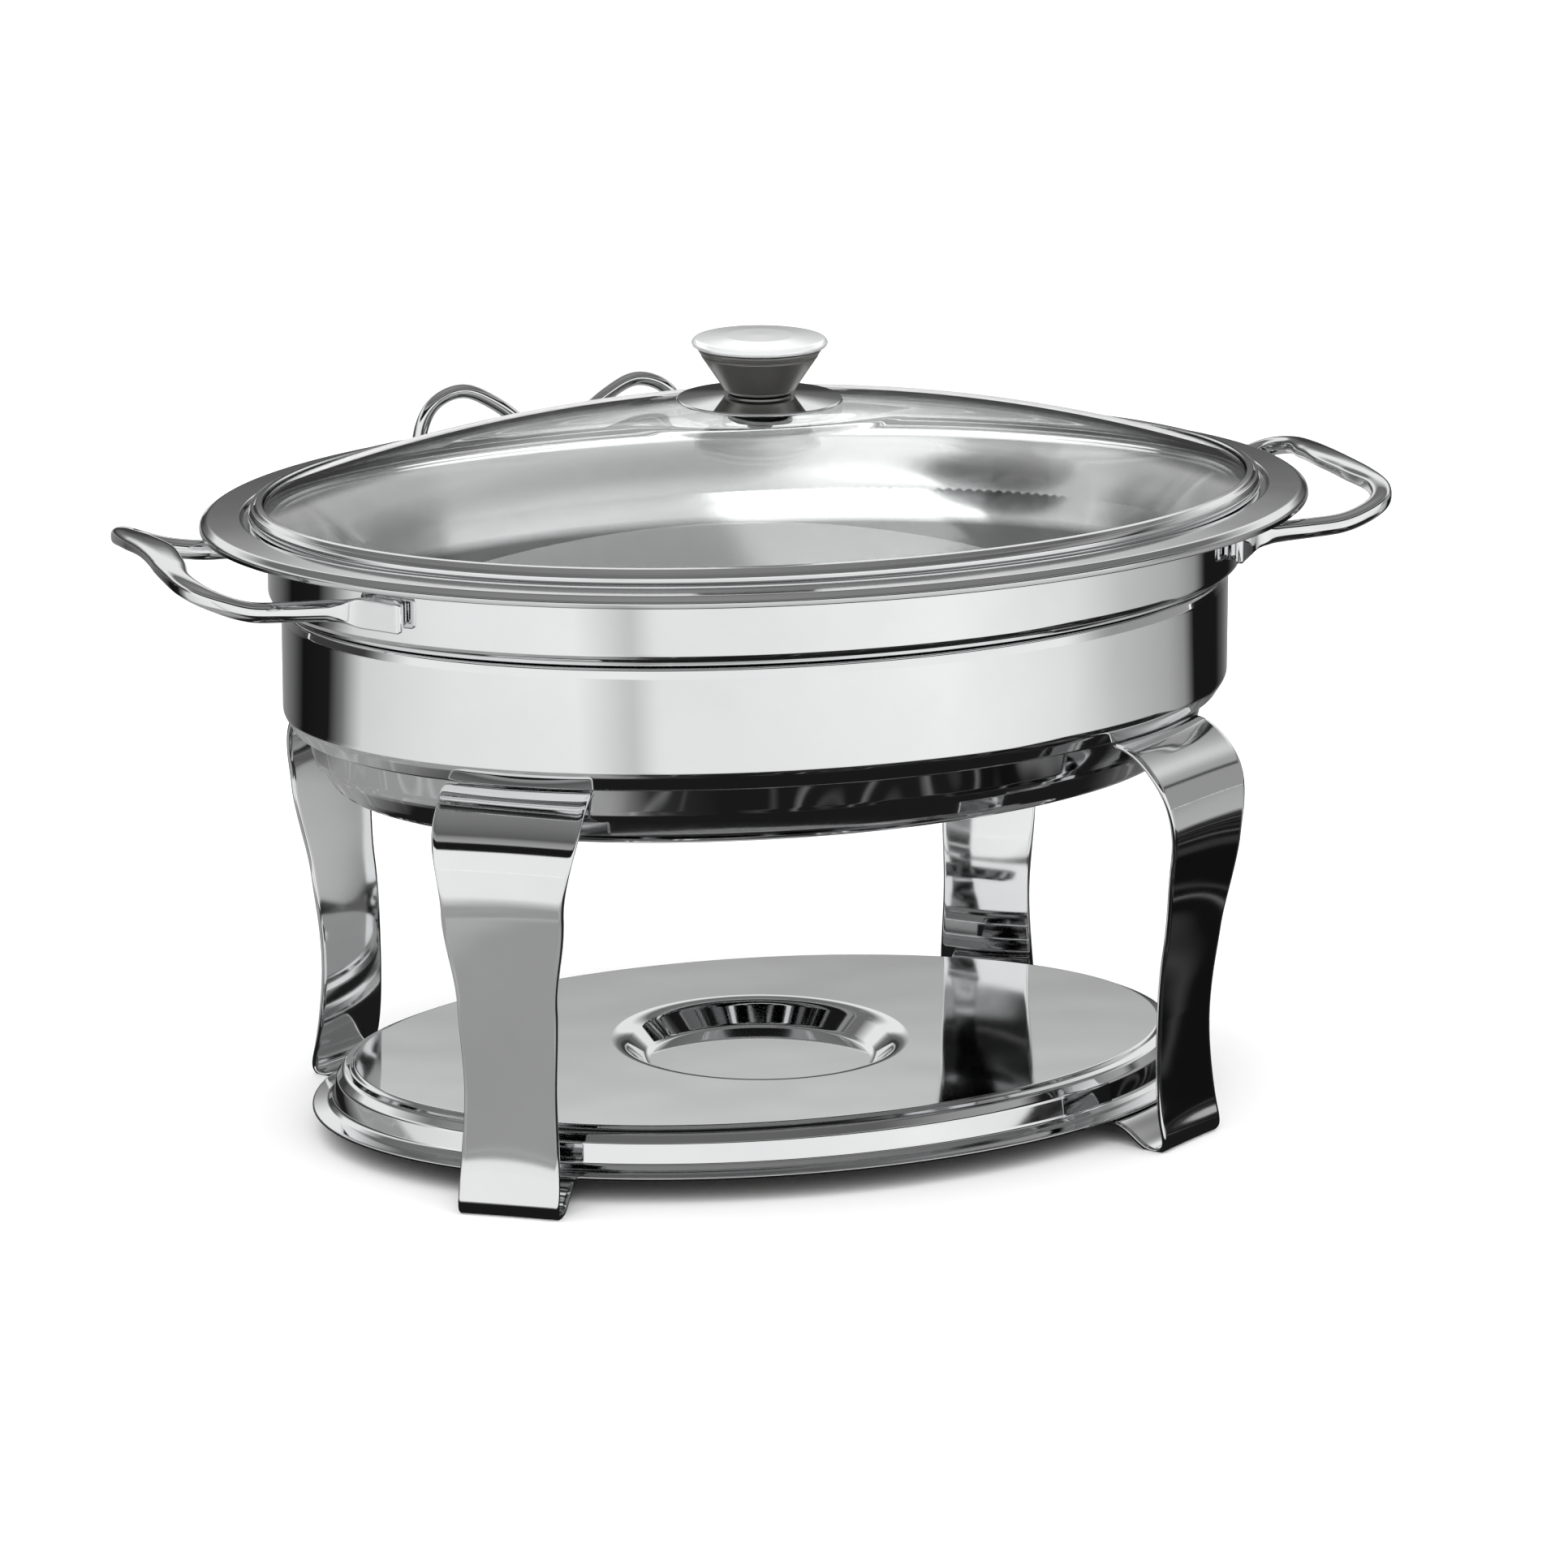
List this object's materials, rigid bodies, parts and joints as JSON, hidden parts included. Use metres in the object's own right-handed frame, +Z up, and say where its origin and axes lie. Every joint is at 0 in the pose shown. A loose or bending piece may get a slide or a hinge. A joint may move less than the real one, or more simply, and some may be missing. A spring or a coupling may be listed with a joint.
{
  "type": "oval chafing dish",
  "caption": "Oval polished-steel chafing dish: footed stand with base tray, water pan with side handles and a rear lid holder, food pan, and a lift-off domed glass lid with a knob.",
  "frame": {"origin": "centre of the bounding box's footprint, on the surface the feet stand on", "axes": "+Z up; +X along the oval's long axis, from the left handle to the right one; +Y to the back, where the lid holder is; the front faces -Y"},
  "size_m": [0.493, 0.4246, 0.306],
  "materials": {
    "polished_steel": "mirror-polished stainless steel",
    "satin_steel": "fine turned satin stainless steel",
    "screw_steel": "plain turned stainless steel",
    "clear_glass": "clear tempered glass, polished",
    "black_silicone": "matt black silicone"
  },
  "bodies": {
    "stand": {"base_tray": "polished_steel", "leg_front_left": "polished_steel", "leg_front_right": "polished_steel", "leg_rear_left": "polished_steel", "leg_rear_right": "polished_steel", "stand_ring": "polished_steel"},
    "water_pan": {"water_pan": "polished_steel", "handle_left": "polished_steel", "handle_right": "polished_steel", "handle_plate_front_left": "polished_steel", "handle_plate_rear_left": "polished_steel", "handle_plate_front_right": "polished_steel", "handle_plate_rear_right": "polished_steel", "lid_holder_wire": "polished_steel", "holder_plate_left": "polished_steel", "holder_plate_right": "polished_steel"},
    "food_pan": {"food_pan": "polished_steel"},
    "lid": {"lid_glass": "clear_glass", "lid_rim": "polished_steel", "knob_cap": "polished_steel", "knob_body": "satin_steel", "knob_plate": "polished_steel", "knob_upper_gasket": "black_silicone", "knob_lower_gasket": "black_silicone", "knob_washer": "screw_steel", "knob_screw": "screw_steel"}
  },
  "joints": [
    {"name": "water_pan_lift", "type": "slide", "parent": "stand", "child": "water_pan", "axis": [0, 0, 1], "range_m": [0, 0.1]},
    {"name": "food_pan_lift", "type": "slide", "parent": "water_pan", "child": "food_pan", "axis": [0, 0, 1], "range_m": [0, 0.1]},
    {"name": "lid_lift", "type": "slide", "parent": "food_pan", "child": "lid", "axis": [0, 0, 1], "range_m": [0, 0.15]}
  ]
}
